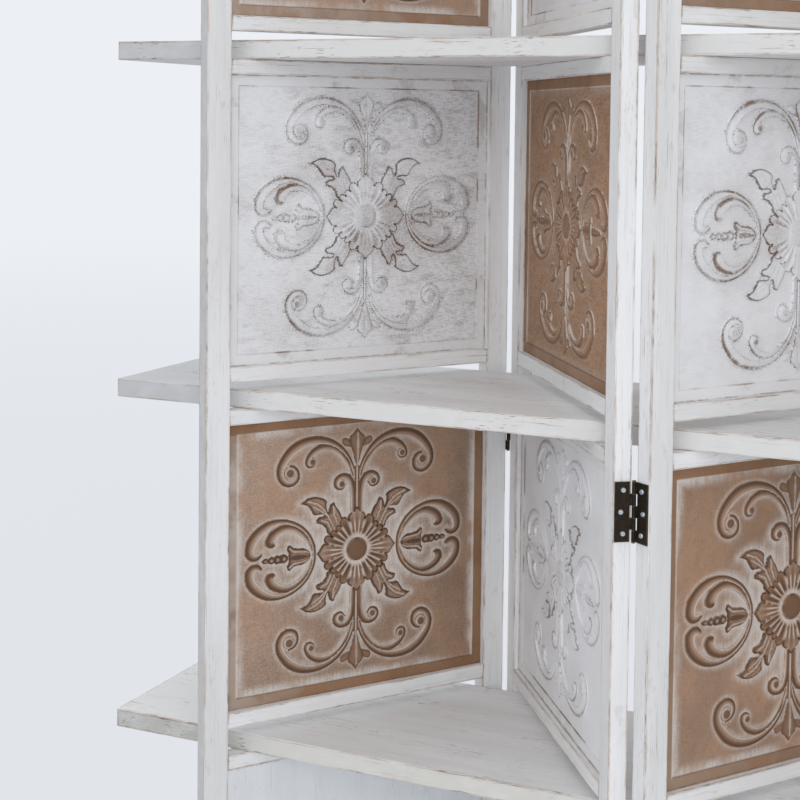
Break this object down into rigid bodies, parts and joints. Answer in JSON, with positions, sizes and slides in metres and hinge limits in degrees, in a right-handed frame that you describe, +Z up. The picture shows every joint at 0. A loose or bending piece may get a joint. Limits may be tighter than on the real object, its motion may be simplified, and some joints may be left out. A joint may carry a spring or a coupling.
{
  "type": "folding room divider",
  "caption": "Folding room divider of hinged framed leaves with carved infill panels and long shelf boards through slots.",
  "frame": {"origin": "centre of the standing divider's bounding box, on the floor", "axes": "+X along the shelf boards to the right, +Y from the front hinge line to the back, +Z up"},
  "size_m": [1.2582, 0.3392, 1.7],
  "materials": {
    "frame_wood": "whitewashed, worn at the edges",
    "shelf_wood": "whitewashed, nicked along the edges",
    "plain_panel_wood": "whitewashed, vertical grain",
    "white_infill": "whitewashed board with carved relief, brown wear on the relief's edges",
    "brown_infill": "tan board with carved relief and a thin white haze",
    "hinge_bronze": "dark antique bronze",
    "hinge_pin_metal": "aged brass",
    "screw_zinc": "bright zinc"
  },
  "bodies": {
    "centre_pins": {"centre_hinge_pins": "hinge_pin_metal"},
    "leaf_b": {"leaf_b_left_stile": "frame_wood", "leaf_b_right_stile": "frame_wood", "leaf_b_rails": "frame_wood", "leaf_b_plain_panel": "plain_panel_wood", "leaf_b_lower_infill": "white_infill", "leaf_b_middle_infill": "brown_infill", "leaf_b_top_infill": "white_infill", "left_hinge_plates_b": "hinge_bronze", "left_hinge_screws_b": "screw_zinc", "centre_hinge_plates_b": "hinge_bronze", "centre_hinge_screws_b": "screw_zinc", "left_hinge_pins": "hinge_pin_metal"},
    "leaf_c": {"leaf_c_left_stile": "frame_wood", "leaf_c_right_stile": "frame_wood", "leaf_c_rails": "frame_wood", "leaf_c_plain_panel": "plain_panel_wood", "leaf_c_lower_infill": "brown_infill", "leaf_c_middle_infill": "white_infill", "leaf_c_top_infill": "brown_infill", "centre_hinge_plates_c": "hinge_bronze", "centre_hinge_screws_c": "screw_zinc", "right_hinge_plates_c": "hinge_bronze", "right_hinge_screws_c": "screw_zinc", "right_hinge_pins": "hinge_pin_metal"},
    "leaf_a": {"leaf_a_left_stile": "frame_wood", "leaf_a_right_stile": "frame_wood", "leaf_a_rails": "frame_wood", "leaf_a_plain_panel": "plain_panel_wood", "leaf_a_lower_infill": "brown_infill", "leaf_a_middle_infill": "white_infill", "leaf_a_top_infill": "brown_infill", "left_hinge_plates_a": "hinge_bronze", "left_hinge_screws_a": "screw_zinc"},
    "leaf_d": {"leaf_d_left_stile": "frame_wood", "leaf_d_right_stile": "frame_wood", "leaf_d_rails": "frame_wood", "leaf_d_plain_panel": "plain_panel_wood", "leaf_d_lower_infill": "white_infill", "leaf_d_middle_infill": "brown_infill", "leaf_d_top_infill": "white_infill", "right_hinge_plates_d": "hinge_bronze", "right_hinge_screws_d": "screw_zinc"},
    "top_board": {"top_shelf": "shelf_wood"},
    "middle_board": {"middle_shelf": "shelf_wood"},
    "lower_board": {"lower_shelf": "shelf_wood"}
  },
  "joints": [
    {"name": "fold", "type": "hinge", "parent": "centre_pins", "child": "leaf_b", "pos_m": [0, -0.15904, 0.85], "axis": [0, 0, -1], "range_deg": [0, 35]},
    {"name": "fold_right", "type": "hinge", "parent": "centre_pins", "child": "leaf_c", "pos_m": [0, -0.15904, 0.85], "axis": [0, 0, 1], "range_deg": [0, 35]},
    {"name": "fold_outer_left", "type": "hinge", "parent": "leaf_b", "child": "leaf_a", "pos_m": [-0.25079, 0.15904, 0.85], "axis": [0, 0, 1], "range_deg": [0, 70]},
    {"name": "fold_outer_right", "type": "hinge", "parent": "leaf_c", "child": "leaf_d", "pos_m": [0.25079, 0.15904, 0.85], "axis": [0, 0, -1], "range_deg": [0, 70]},
    {"name": "top_shelf_slide", "type": "slide", "parent": "centre_pins", "child": "top_board", "axis": [1, 0, 0], "range_m": [-0.45, 0.45]},
    {"name": "middle_shelf_slide", "type": "slide", "parent": "centre_pins", "child": "middle_board", "axis": [1, 0, 0], "range_m": [-0.45, 0.45]},
    {"name": "lower_shelf_slide", "type": "slide", "parent": "centre_pins", "child": "lower_board", "axis": [1, 0, 0], "range_m": [-0.45, 0.45]}
  ],
  "couplings": [
    {"joint": "fold_right", "follows": "fold", "ratio": 1},
    {"joint": "fold_outer_left", "follows": "fold", "ratio": 2},
    {"joint": "fold_outer_right", "follows": "fold", "ratio": 2}
  ]
}
